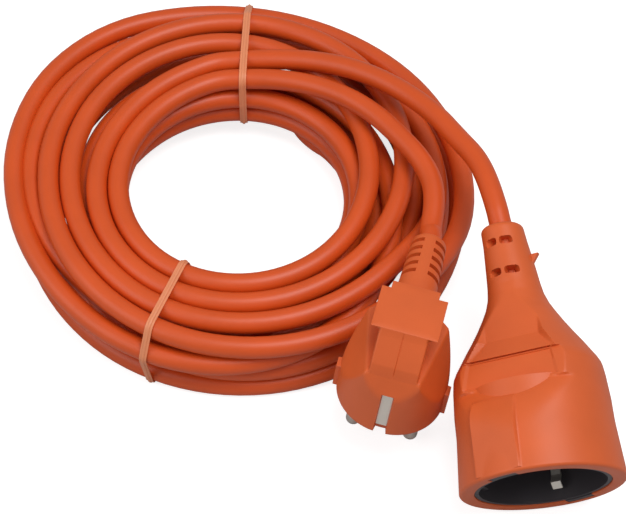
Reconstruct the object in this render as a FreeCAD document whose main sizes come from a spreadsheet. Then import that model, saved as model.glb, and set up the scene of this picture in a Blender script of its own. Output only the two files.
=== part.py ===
import FreeCAD, Part
import math
import os
import re
import Sketcher
from FreeCAD import Placement, Rotation, Vector

# A five metre extension cord for a generator or a workshop: an angled plug with two pins
# and side earth strips, a round coupling with a sunk face, and a three-core sheathed cord
# wound into a flat ring and held by two wire ties.
#
# World frame: millimetres, Z up, origin on the floor at the middle of the ring.
# Plug frame: origin in the middle of the pins' face, pins towards -Z, cord towards +Y.
# Coupling frame: origin in the middle of the rim, +Z towards the cord, -Y is the upper side.

doc = FreeCAD.newDocument("ExtensionCord")
sheet = doc.addObject("Spreadsheet::Sheet", "Sizes")

SIZES = {
    # cord and ring
    "cord_diameter": 7.2,
    "cord_sides": 6,
    "lane_gap": 0.8,
    "layer_gap": 0.6,
    "inner_lane": 41.5,
    "quarters_per_layer": 7,
    "ring_start": 80,
    "landing_sweep": 45,
    "landing_slant": 11,
    "landing_offset": 1.1,
    "bottom_sweep": 240,
    "core_radius": 1.2,
    # ties
    "tie_width": 2.5,
    "tie_thickness": 0.6,
    "tie_clearance": 0.3,
    # fits between pieces that are pushed together
    "fit_clearance": 0.15,
    # plug housing
    "puck_radius": 17.3,
    "puck_height": 24,
    "slope_foot": 16,
    "slope_depth": 3.13,
    "grip_width": 15.2,
    "grip_front": 13,
    "grip_knee": 27,
    "plate_width": 21,
    "plate_front": 7.5,
    "plate_back": 10,
    "plate_tail": 13,
    "plate_under": 33.6,
    "plate_top": 36,
    "ear_span": 37,
    "ear_width": 4,
    "ear_height": 9.2,
    "ear_back": 1,
    # plug strain relief
    "relief_height": 23,
    "relief_root_radius": 6.45,
    "relief_tip_radius": 5.4,
    "relief_end": 49,
    "relief_slots": 5,
    "relief_slot_pitch": 3.3,
    "relief_slot_width": 1.4,
    "relief_core_radius": 4.3,
    # plug inside
    "face_radius": 14.2,
    "face_thickness": 11,
    "pin_spacing": 19,
    "pin_radius": 2.4,
    "pin_length": 19,
    "pin_shank_radius": 2,
    "pin_shank": 15,
    "chamber_top": 21,
    "chamber_back": 13.5,
    "earth_hole_offset": 10,
    "earth_bore_radius": 2.45,
    "sleeve_wall": 0.55,
    "strap_width": 3.6,
    "strap_thickness": 0.7,
    "strap_reach": 15.75,
    "strap_bottom": 2.1,
    # crimps
    "tab_thickness": 0.8,
    "tab_width": 3.8,
    "crimp_wall": 0.6,
    "crimp_length": 4.5,
    # coupling housing
    "rim_radius": 26,
    "barrel_radius": 24.4,
    "barrel_start": 18,
    "shoulder": 38,
    "shoulder_radius": 23,
    "neck": 63,
    "neck_radius": 8.3,
    "tail_radius": 6.6,
    "coupling_length": 86.4,
    "panel_start": 31,
    "panel_end": 43,
    "panel_depth": 15.6,
    "earth_panel_width": 17.5,
    "earth_panel_reach": 25.2,
    "earth_panel_end": 28,
    "tail_slot_width": 2.5,
    "tail_slot_first": 73,
    "tail_slot_second": 82,
    # coupling inside
    "insert_radius": 21.05,
    "insert_setback": 0.6,
    "insert_length": 29.4,
    "recess_radius": 19.75,
    "recess_depth": 17.5,
    "floor_thickness": 3.5,
    "skirt_radius": 18.95,
    "guide_rib_width": 4.8,
    "guide_rib_reach": 17.9,
    "guide_rib_start": 3,
    "contact_wall": 0.55,
    "contact_length": 12,
    "contact_slit": 0.7,
    "floor_hole_radius": 2.75,
    "tongue_length": 5,
    "clip_width": 5,
    "clip_thickness": 0.8,
    "clip_reach": 17.5,
    "clip_depth": 7.5,
    "carrier_thickness": 8.5,
    "cavity_radius": 13,
    "cavity_end": 58,
}
for row, (alias, number) in enumerate(SIZES.items(), start=1):
    sheet.set(f"A{row}", alias.replace("_", " "))
    sheet.set(f"B{row}", str(number))
    sheet.setAlias(f"B{row}", alias)
doc.recompute()


def named(text):
    """The same expression, with each size's name pointing into the sheet."""
    return re.sub(r"[a-z][a-z_]*", lambda word: f"Sizes.{word.group()}" if word.group() in SIZES
                  else word.group(), text)


def size(text):
    """The number that an expression of the sheet's names comes to."""
    return float(sheet.evalExpression(named(text)))


PLUG_PLACE = Placement(
    Vector(50.4, -85.0, 21.6),
    Rotation(Vector(0, 0, 1), -13.5) * Rotation(Vector(1, 0, 0), -9)
    * Rotation(Vector(0, 1, 0), 5.4))
COUPLING_PLACE = Placement(
    Vector(96.3, -121.6, 25.5),
    Rotation(Vector(0, 0, 1), 5.3) * Rotation(Vector(1, 0, 0), -90 + 13.1)
    * Rotation(Vector(0, 0, 1), -25))
subparts = []


class Piece:
    """One sub-part as a body: sketched features bound to the sheet, in the order they are made."""

    def __init__(self, label, placement):
        self.body = doc.addObject("PartDesign::Body", label)
        self.body.Label = label
        self.body.Placement = placement
        self.steps = 0
        subparts.append(self.body)

    def feature(self, kind):
        self.steps += 1
        return self.body.newObject(kind, f"{self.body.Name}_{self.steps}")

    def sketch(self, plane, height="0", turn=0.0):
        """A sketch parallel to an origin plane, `height` along its normal, turned about its V axis."""
        sketch = self.feature("Sketcher::SketchObject")
        origin = next(o for o in self.body.Origin.OriginFeatures if o.Role == f"{plane}_Plane")
        sketch.AttachmentSupport = [(origin, "")]
        sketch.MapMode = "FlatFace"
        sketch.AttachmentOffset = Placement(Vector(), Rotation(Vector(0, 1, 0), turn))
        sketch.setExpression(".AttachmentOffset.Base.z", named(height))
        return sketch

    def outline(self, sketch, corners):
        """A closed outline through corners, each a pair of expressions, held by dimensions."""
        places = [Vector(size(across), size(up), 0) for across, up in corners]
        first = sketch.GeometryCount
        for start, end in zip(places, places[1:] + places[:1]):
            sketch.addGeometry(Part.LineSegment(start, end), False)
        count = len(places)
        for k in range(count):
            sketch.addConstraint(Sketcher.Constraint(
                "Coincident", first + k, 2, first + (k + 1) % count, 1))
        for k, (across, up) in enumerate(corners):
            for axis, text, number in (("DistanceX", across, places[k].x),
                                       ("DistanceY", up, places[k].y)):
                held = sketch.addConstraint(Sketcher.Constraint(axis, -1, 1, first + k, 1, number))
                sketch.setExpression(f"Constraints[{held}]", named(text))
        return sketch

    def circle(self, sketch, across, up, radius):
        """A circle held by its centre and radius."""
        shape = Part.Circle(Vector(size(across), size(up), 0), Vector(0, 0, 1), size(radius))
        ring = sketch.addGeometry(shape, False)
        for axis, text in (("DistanceX", across), ("DistanceY", up)):
            held = sketch.addConstraint(Sketcher.Constraint(axis, -1, 1, ring, 3, size(text)))
            sketch.setExpression(f"Constraints[{held}]", named(text))
        held = sketch.addConstraint(Sketcher.Constraint("Radius", ring, size(radius)))
        sketch.setExpression(f"Constraints[{held}]", named(radius))
        return sketch

    def pad(self, sketch, length, both_ways=False):
        """Material from the sketch along its normal, or half each way."""
        pad = self.feature("PartDesign::Pad")
        pad.Profile = sketch
        pad.SideType = "Symmetric" if both_ways else "One side"
        pad.setExpression("Length", named(length))
        return self.done(pad)

    def pocket(self, sketch, length, both_ways=False):
        """A cut from the sketch along its normal, or half each way."""
        pocket = self.feature("PartDesign::Pocket")
        pocket.Profile = sketch
        pocket.Reversed = not both_ways
        pocket.SideType = "Symmetric" if both_ways else "One side"
        pocket.setExpression("Length", named(length))
        return self.done(pocket)

    def turned(self, sketch, angle=360.0, cut=False):
        """The sketch turned about its V axis, centred on the sketch when not a full turn."""
        turned = self.feature("PartDesign::Groove" if cut else "PartDesign::Revolution")
        turned.Profile = sketch
        turned.ReferenceAxis = (sketch, ["V_Axis"])
        turned.Midplane = angle < 360
        turned.Angle = angle
        return self.done(turned)

    def solid(self, kind, at, rotation, **sizes):
        """A primitive such as AdditiveCone, its corner or base centre at three expressions."""
        shape = self.feature(f"PartDesign::{kind}")
        shape.Placement = Placement(Vector(*(size(text) for text in at)), rotation)
        for axis, text in zip("xyz", at):
            shape.setExpression(f".Placement.Base.{axis}", named(text))
        for field, text in sizes.items():
            shape.setExpression(field, named(text))
        return self.done(shape)

    def rounded(self, radius, wanted):
        """A fillet on the edges of the last feature whose centre passes the test."""
        base = self.body.Tip
        names = [f"Edge{n}" for n, edge in enumerate(base.Shape.Edges, start=1)
                 if wanted(edge.CenterOfGravity, edge)]
        fillet = self.feature("PartDesign::Fillet")
        fillet.Base = (base, names)
        fillet.setExpression("Radius", named(radius))
        return self.done(fillet)

    def done(self, feature):
        for drawing in self.body.Group:
            drawing.Visibility = False
        doc.recompute()
        if not feature.isValid() or feature.Shape.isNull():
            raise ValueError(f"{feature.Name} of {self.body.Label} has failed")
        return feature


def rectangle(left, right, low, high):
    return [(left, low), (right, low), (right, high), (left, high)]


ALONG_Y = Rotation(Vector(1, 0, 0), -90)
UPRIGHT = Rotation()


# Plug

def plug_body():
    """The moulded housing: round foot, sloping front, waisted grip, top plate, strain relief."""
    plug = Piece("plug_body", PLUG_PLACE)
    plug.pad(plug.circle(plug.sketch("XY"), "0", "0", "puck_radius"), "puck_height")
    plug.pad(plug.outline(plug.sketch("YZ"), [
        ("-grip_front - 1", "chamber_top"), ("-grip_front", "grip_knee"),
        ("-plate_front - 0.4", "plate_under + 0.6"), ("plate_tail - 1", "plate_under + 0.6"),
        ("plate_tail + 5", "relief_height + relief_root_radius"),
        ("plate_tail + 5", "chamber_top")]), "grip_width", both_ways=True)
    plug.pad(plug.outline(plug.sketch("XY", "plate_under"), [
        ("-plate_width / 2", "-plate_front"), ("plate_width / 2", "-plate_front"),
        ("plate_width / 2", "plate_back"), ("grip_width / 2", "plate_back"),
        ("grip_width / 2", "plate_tail"), ("-grip_width / 2", "plate_tail"),
        ("-grip_width / 2", "plate_back"), ("-plate_width / 2", "plate_back")]),
        "plate_top - plate_under")
    plug.pad(plug.outline(plug.sketch("XY"), rectangle(
        "-ear_span / 2", "ear_span / 2", "-ear_back - ear_width / 2",
        "-ear_back + ear_width / 2")), "ear_height")
    plug.solid("AdditiveCone", ("0", "chamber_back", "relief_height"), ALONG_Y,
               Radius1="relief_root_radius", Radius2="relief_tip_radius",
               Height="relief_end - chamber_back")
    slope = plug.sketch("YZ")
    plug.outline(slope, [
        ("-puck_radius - 2", "0"), ("-puck_radius", "slope_foot"),
        ("-puck_radius + slope_depth", "puck_height + 0.01"),
        ("-puck_radius - 2", "puck_height + 0.01")])
    plug.pocket(slope, "puck_radius * 2 + 4", both_ways=True)
    slots = plug.sketch("XY", "relief_height")
    for k in range(round(size("relief_slots"))):
        low = f"relief_end - 3.6 - {k} * relief_slot_pitch - relief_slot_width"
        high = f"relief_end - 3.6 - {k} * relief_slot_pitch"
        plug.outline(slots, rectangle("relief_core_radius", "relief_root_radius + 2", low, high))
        plug.outline(slots, rectangle("-relief_root_radius - 2", "-relief_core_radius", low, high))
    plug.turned(slots, 138.0, cut=True)
    for side in ("", "-"):
        low, high = ("-puck_radius - 2", "-strap_reach + strap_thickness")
        if side:
            low, high = ("strap_reach - strap_thickness", "puck_radius + 2")
        notch = plug.outline(plug.sketch("XY"), rectangle(
            "-strap_width / 2 - fit_clearance", "strap_width / 2 + fit_clearance", low, high))
        plug.pocket(notch, "face_thickness + strap_thickness")
    bridge = plug.outline(plug.sketch("XY", "face_thickness"), rectangle(
        "-strap_width / 2 - fit_clearance", "strap_width / 2 + fit_clearance",
        "-strap_reach", "strap_reach"))
    plug.pocket(bridge, "strap_thickness")
    plug.pocket(plug.circle(plug.sketch("XY"), "0", "0", "face_radius + fit_clearance"),
                "face_thickness")
    chamber = plug.outline(plug.sketch("XY", "face_thickness"), [
        ("-face_radius + 0.8", "-4.5"), ("face_radius - 0.8", "-4.5"),
        ("face_radius - 0.8", "6"), ("4.6", "chamber_back"),
        ("-4.6", "chamber_back"), ("-face_radius + 0.8", "6")])
    plug.pocket(chamber, "chamber_top - face_thickness")
    plug.rounded("0.8", lambda middle, edge: middle.y > size("relief_end") - 0.01)
    return plug


def plug_face():
    """The hard disc that carries both pins and the earth sleeve."""
    face = Piece("plug_face", PLUG_PLACE)
    drawing = face.circle(face.sketch("XY"), "0", "0", "face_radius")
    for side in ("", "-"):
        face.circle(drawing, f"{side}pin_spacing / 2", "0", "pin_shank_radius + fit_clearance")
    face.circle(drawing, "0", "-earth_hole_offset",
                "earth_bore_radius + sleeve_wall + fit_clearance")
    face.pad(drawing, "face_thickness")


def pin(label, side):
    """A round brass pin with a domed tip and a thinner shank through the disc."""
    place = f"{side}pin_spacing / 2"
    peg = Piece(label, PLUG_PLACE)
    peg.solid("AdditiveCylinder", (place, "0", "-pin_length"), UPRIGHT,
              Radius="pin_radius", Height="pin_length")
    peg.rounded("pin_radius * 0.8", lambda middle, edge: middle.z < -size("pin_length") + 0.01)
    peg.solid("AdditiveCylinder", (place, "0", "0"), UPRIGHT,
              Radius="pin_shank_radius", Height="pin_shank")


def plug_earth():
    """The earth strap, bent as a bridge with two legs, and the sleeve of the earth hole."""
    strap = Piece("plug_earth_strap", PLUG_PLACE)
    top = "face_thickness + strap_thickness"
    inner = "strap_reach - strap_thickness"
    strap.pad(strap.outline(strap.sketch("YZ"), [
        ("-strap_reach", "strap_bottom"), (f"-({inner})", "strap_bottom"),
        (f"-({inner})", "face_thickness"), (inner, "face_thickness"),
        (inner, "strap_bottom"), ("strap_reach", "strap_bottom"),
        ("strap_reach", top), ("-strap_reach", top)]), "strap_width", both_ways=True)
    sleeve = Piece("plug_earth_sleeve", PLUG_PLACE)
    ring = sleeve.circle(sleeve.sketch("XY"), "0", "-earth_hole_offset", "earth_bore_radius")
    sleeve.circle(ring, "0", "-earth_hole_offset", "earth_bore_radius + sleeve_wall")
    sleeve.pad(ring, "face_thickness")


def crimp(label, placement):
    """A crimp: a flat tab that is welded to its contact, and a barrel round the core's end."""
    clamp = Piece(label, placement)
    barrel = "core_radius + fit_clearance + crimp_wall"
    axis = f"tab_thickness / 2 + {barrel}"
    clamp.pad(clamp.outline(clamp.sketch("XY"), rectangle(
        "-tab_width / 2", "tab_width / 2", "-2.4", "2")), "tab_thickness")
    clamp.solid("AdditiveCylinder", ("0", "1", axis), ALONG_Y,
                Radius=barrel, Height="crimp_length")
    clamp.solid("SubtractiveCylinder", ("0", "1", axis), ALONG_Y,
                Radius="core_radius + fit_clearance", Height="crimp_length")


# Paths of cords and cores

def arc(start, tangent, end):
    """The arc from start along a unit tangent to end, or a line where it would be straight."""
    chord = end - start
    along = chord * (1 / chord.Length)
    side = tangent - along * tangent.dot(along)
    if side.Length < 1e-7:
        return Part.LineSegment(start, end)
    side.normalize()
    bend = math.acos(max(-1, min(1, tangent.dot(along))))
    middle = (start + end) * 0.5 + side * (chord.Length / 2 * math.tan(bend / 2))
    return Part.Arc(start, middle, end)


def biarc(start, leaving, end, arriving):
    """Two arcs that share a tangent where they meet and have the given ones at their ends."""
    reach, both = end - start, leaving + arriving
    square = 2 * (1 - leaving.dot(arriving))
    linear, constant = 2 * reach.dot(both), -reach.dot(reach)
    if abs(square) < 1e-9:
        length = -constant / linear
    else:
        length = (-linear + math.sqrt(linear * linear - 4 * square * constant)) / (2 * square)
    near, far = start + leaving * length, end - arriving * length
    middle = (near + far) * 0.5
    return [arc(start, leaving, middle), arc(middle, (far - near).normalize(), end)]


def tube(wire, radius, sides=0):
    """A solid tube along a wire, round or with flat sides."""
    start = wire.Edges[0]
    centre, along = start.valueAt(start.FirstParameter), start.tangentAt(start.FirstParameter)
    if not sides:
        profile = Part.Wire([Part.makeCircle(radius, centre, along)])
    else:
        across = along.cross(Vector(0, 0, 1)).normalize()
        upward = across.cross(along)
        turns = [math.pi / 2 + 2 * math.pi * k / sides for k in range(sides)]
        corners = [centre + (across * math.cos(a) + upward * math.sin(a)) * radius for a in turns]
        profile = Part.makePolygon(corners + corners[:1])
    return wire.makePipeShell([profile], True, False)


def rounded_route(points, name):
    """Straight runs joined by tangent arcs, as large as the shorter of their two runs allows."""
    edges, start = [], points[0]
    radii = []
    for before, corner, after in zip(points, points[1:], points[2:]):
        back, ahead = before - corner, after - corner
        shorter = min(back.Length, ahead.Length)
        back.normalize()
        ahead.normalize()
        half_turn = (math.pi - back.getAngle(ahead)) / 2
        trim = 0.45 * shorter
        radius = trim / math.tan(half_turn)
        middle_way = (back + ahead).normalize()
        depth = radius / math.cos(half_turn) - radius
        first, last = corner + back * trim, corner + ahead * trim
        edges.append(Part.LineSegment(start, first))
        edges.append(Part.Arc(first, corner + middle_way * depth, last))
        start = last
        radii.append(radius)
    edges.append(Part.LineSegment(start, points[-1]))
    print(f"{name}: arc radii", [round(radius) for radius in radii])
    return Part.Wire([edge.toShape() for edge in edges])


def shaped(label, shape, placement=Placement()):
    """A sub-part whose shape is worked out above from the sheet's sizes."""
    part = doc.addObject("Part::Feature", label)
    part.Label = label
    part.Shape = shape
    part.Placement = placement
    subparts.append(part)
    return part


def core(label, placement, start, end, along):
    """A core's insulated conductor: straight out of its crimp, then over to the sheath's end."""
    inside = start - along * (size("crimp_length") - 1)
    curve = [Part.LineSegment(inside, start)] + biarc(start, along, end, along)
    wire = Part.Wire([edge.toShape() for edge in curve])
    shaped(label, tube(wire, size("core_radius")), placement)


def plug_wiring():
    """Three crimps on the pins and the strap, and their cores to the back of the chamber."""
    axis = size("tab_thickness / 2 + core_radius + fit_clearance + crimp_wall")
    rear = size("1 + crimp_length")
    seats = {
        "live": (Vector(size("pin_spacing / 2"), 0, size("pin_shank")), 2.4),
        "neutral": (Vector(size("-pin_spacing / 2"), 0, size("pin_shank")), -2.4),
        "earth": (Vector(0, -1.9, size("face_thickness + strap_thickness")), 0.0),
    }
    for name, (seat, across) in seats.items():
        crimp(f"plug_{name}_crimp", PLUG_PLACE * Placement(seat, UPRIGHT))
        start = seat + Vector(0, rear, axis)
        end = Vector(across, size("chamber_back"), start.z)
        core(f"plug_{name}_core", PLUG_PLACE, start, end, Vector(0, 1, 0))


# Coupling

def coupling_body():
    """The moulded housing: flared barrel, cone with its flats, and the slotted tail."""
    body = Piece("coupling_body", COUPLING_PLACE)
    seat = "insert_setback + insert_length"
    body.turned(body.outline(body.sketch("XZ"), [
        ("insert_radius + fit_clearance", "0"), ("rim_radius", "0"),
        ("barrel_radius", "barrel_start"), ("barrel_radius", "barrel_start + 7"),
        ("shoulder_radius", "shoulder"), ("neck_radius", "neck"),
        ("tail_radius", "coupling_length - 8"), ("tail_radius", "coupling_length"),
        ("0", "coupling_length"), ("0", "cavity_end"),
        ("core_radius * 4", "cavity_end"), ("cavity_radius - 4.4", "cavity_end - 8"),
        ("cavity_radius - 0.6", f"{seat} + 10"), ("cavity_radius", seat),
        ("insert_radius + fit_clearance", seat)]))
    body.rounded("1.6", lambda middle, edge: middle.z < 0.01
                 and edge.Length > 6.4 * size("insert_radius"))
    body.rounded("4", lambda middle, edge: abs(middle.z - size("shoulder")) < 0.01
                 and edge.Length > 6 * size("barrel_start"))
    body.rounded("1.6", lambda middle, edge: abs(middle.z - size("coupling_length")) < 0.01)
    panel = body.outline(body.sketch("YZ"), [
        ("-panel_depth", "panel_start"), ("-panel_depth + 1", "panel_end"),
        ("-panel_depth + 4.1", "panel_end + 7"), ("-neck_radius + 0.3", "neck + 1"),
        ("-rim_radius - 2", "neck + 1"), ("-rim_radius - 2", "panel_start")])
    body.pocket(panel, "rim_radius * 2", both_ways=True)
    raised = body.outline(body.sketch("YZ"), [
        ("-insert_radius - 1.2", "1"), ("-earth_panel_reach", "1"),
        ("-earth_panel_reach + 1.2", "earth_panel_end"),
        ("-insert_radius - 1.2", "earth_panel_end")])
    body.pad(raised, "earth_panel_width", both_ways=True)
    for low, high in (("-insert_radius - 1.3", "-insert_radius + 1"),
                      ("insert_radius - 1", "insert_radius + 1.3")):
        notch = body.outline(body.sketch("XY", "-0.1"), rectangle(
            "-clip_width", "clip_width", low, high))
        body.pocket(notch, "2.2")
    for place in ("tail_slot_first", "tail_slot_second"):
        for turn in (52, 128):
            slot = body.outline(body.sketch("XZ", turn=turn), rectangle(
                "tail_radius - 2.1", "neck_radius + 1",
                f"{place} - tail_slot_width / 2", f"{place} + tail_slot_width / 2"))
            body.turned(slot, 58.0, cut=True)
    lug = body.outline(body.sketch("XZ", turn=-25), [
        ("tail_radius - 0.4", "tail_slot_first + 1.2"),
        ("tail_radius + 3.6", "tail_slot_first + 5.4"),
        ("tail_radius - 0.4", "tail_slot_first + 4.2")])
    body.pad(lug, "1.8", both_ways=True)
    return body


CARRIER_FRONT = "insert_setback + recess_depth + floor_thickness"


def coupling_insert():
    """The black sleeve of the recess: two guide ribs, a ledge, and a skirt round the carrier."""
    end = "insert_setback + insert_length"
    sleeve = Piece("coupling_insert", COUPLING_PLACE)
    sleeve.turned(sleeve.outline(sleeve.sketch("XZ"), [
        ("recess_radius", "insert_setback"), ("insert_radius", "insert_setback"),
        ("insert_radius", end), ("skirt_radius", end), ("skirt_radius", CARRIER_FRONT),
        ("recess_radius", CARRIER_FRONT)]))
    for left, right in (("guide_rib_reach", "recess_radius + 0.5"),
                        ("-recess_radius - 0.5", "-guide_rib_reach")):
        rib = sleeve.outline(sleeve.sketch("XY", "insert_setback + guide_rib_start"), rectangle(
            left, right, "-guide_rib_width / 2", "guide_rib_width / 2"))
        sleeve.pad(rib, "recess_depth - guide_rib_start")


def sunk_face():
    """The recess's floor: a disc on the sleeve's ledge, with pin holes and the clip's slots."""
    disc = Piece("sunk_face", COUPLING_PLACE)
    drawing = disc.circle(disc.sketch("XY", "insert_setback + recess_depth"), "0", "0",
                          "recess_radius - fit_clearance")
    for side in ("", "-"):
        disc.circle(drawing, f"{side}pin_spacing / 2", "0", "floor_hole_radius")
    for low, high in (("-clip_reach - fit_clearance",
                       "-clip_reach + clip_thickness + fit_clearance"),
                      ("clip_reach - clip_thickness - fit_clearance",
                       "clip_reach + fit_clearance")):
        disc.outline(drawing, rectangle("-clip_width / 2 - fit_clearance",
                                        "clip_width / 2 + fit_clearance", low, high))
    disc.pad(drawing, "floor_thickness")


def contact_carrier():
    """The hard disc behind the sunk face, bored for the contacts and slotted for the earth clip."""
    carrier = Piece("contact_carrier", COUPLING_PLACE)
    disc = carrier.circle(carrier.sketch("XY", CARRIER_FRONT), "0", "0",
                          "skirt_radius - fit_clearance")
    for side in ("", "-"):
        carrier.circle(disc, f"{side}pin_spacing / 2", "0",
                       "earth_bore_radius + contact_wall + fit_clearance")
    carrier.outline(disc, rectangle("-tab_width / 2 - fit_clearance",
                                    "tab_width / 2 + fit_clearance",
                                    "-tab_thickness / 2 - fit_clearance",
                                    "tab_thickness / 2 + fit_clearance"))
    carrier.pad(disc, "insert_setback + insert_length - (" + CARRIER_FRONT + ")")
    bridge = carrier.outline(carrier.sketch("XY", CARRIER_FRONT), rectangle(
        "-clip_width / 2 - fit_clearance", "clip_width / 2 + fit_clearance",
        "-clip_reach - fit_clearance", "clip_reach + fit_clearance"))
    carrier.pocket(bridge, "clip_thickness")


def contact(label, side):
    """A slit socket tube for one pin, closed at its back, with a tongue for its crimp."""
    place = f"{side}pin_spacing / 2"
    tube_end = f"{CARRIER_FRONT} + contact_length"
    socket = Piece(label, COUPLING_PLACE)
    socket.pad(socket.circle(socket.sketch("XY", CARRIER_FRONT), place, "0",
                             "earth_bore_radius + contact_wall"), "contact_length")
    tongue = socket.outline(socket.sketch("XY", tube_end), rectangle(
        f"{place} - tab_thickness / 2", f"{place} + tab_thickness / 2",
        "-tab_width / 2", "tab_width / 2"))
    socket.pad(tongue, "tongue_length")
    socket.pocket(socket.circle(socket.sketch("XY", CARRIER_FRONT), place, "0",
                                "earth_bore_radius"), "contact_length - 1")
    slit = socket.outline(socket.sketch("XY", CARRIER_FRONT), rectangle(
        f"{place} - earth_bore_radius - 2", f"{place} + earth_bore_radius + 2",
        "-contact_slit / 2", "contact_slit / 2"))
    socket.pocket(slit, "contact_length - 3")


def earth_clip():
    """The earth clip: a bridge behind the sunk face, two blades with turned-in tips, a tongue."""
    clip = Piece("coupling_earth_clip", COUPLING_PLACE)
    front = CARRIER_FRONT
    tip = "insert_setback + clip_depth"
    inner = "clip_reach - clip_thickness"
    clip.pad(clip.outline(clip.sketch("YZ"), [
        ("-clip_reach", f"{front} + clip_thickness"), ("-clip_reach", f"{tip} + 4"),
        ("-clip_reach + 1.6", f"{tip} + 1.4"), ("-clip_reach - 0.2", tip),
        (f"-clip_reach + 0.7", f"{tip} - 0.4"), ("-clip_reach + 2.6", f"{tip} + 1.5"),
        (f"-({inner})", f"{tip} + 4.2"), (f"-({inner})", front), (inner, front),
        (inner, f"{tip} + 4.2"), ("clip_reach - 2.6", f"{tip} + 1.5"),
        ("clip_reach - 0.7", f"{tip} - 0.4"), ("clip_reach + 0.2", tip),
        ("clip_reach - 1.6", f"{tip} + 1.4"), ("clip_reach", f"{tip} + 4"),
        ("clip_reach", f"{front} + clip_thickness")]), "clip_width", both_ways=True)
    tongue = clip.outline(clip.sketch("XY", f"{front} + clip_thickness"), rectangle(
        "-tab_width / 2", "tab_width / 2", "-tab_thickness / 2", "tab_thickness / 2"))
    clip.pad(tongue, "contact_length - clip_thickness + tongue_length")


def coupling_wiring():
    """Three crimps on the tongues, their barrels along the coupling, and the cores to the tail."""
    axis = size("tab_thickness / 2 + core_radius + fit_clearance + crimp_wall")
    rear = size("1 + crimp_length")
    height = size(f"{CARRIER_FRONT} + contact_length") + 2.6
    half, spread = size("tab_thickness / 2"), size("pin_spacing / 2")
    # each crimp's barrel looks along +Z and its tab lies on the tongue's face
    facing = {
        "live": (Vector(spread - half, 0, height), Vector(-1, 0, 0), Vector(2.4, 0, 0)),
        "neutral": (Vector(half - spread, 0, height), Vector(1, 0, 0), Vector(-2.4, 0, 0)),
        "earth": (Vector(0, half, height), Vector(0, 1, 0), Vector(0, axis + half, 0)),
    }
    along = Vector(0, 0, 1)
    for name, (seat, outward, across) in facing.items():
        turn = Rotation(along.cross(outward), along, outward, "ZYX")
        crimp(f"coupling_{name}_crimp", COUPLING_PLACE * Placement(seat, turn))
        start = seat + outward * axis + along * rear
        end = across + along * size("cavity_end")
        core(f"coupling_{name}_core", COUPLING_PLACE, start, end, along)


# Cord

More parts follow.
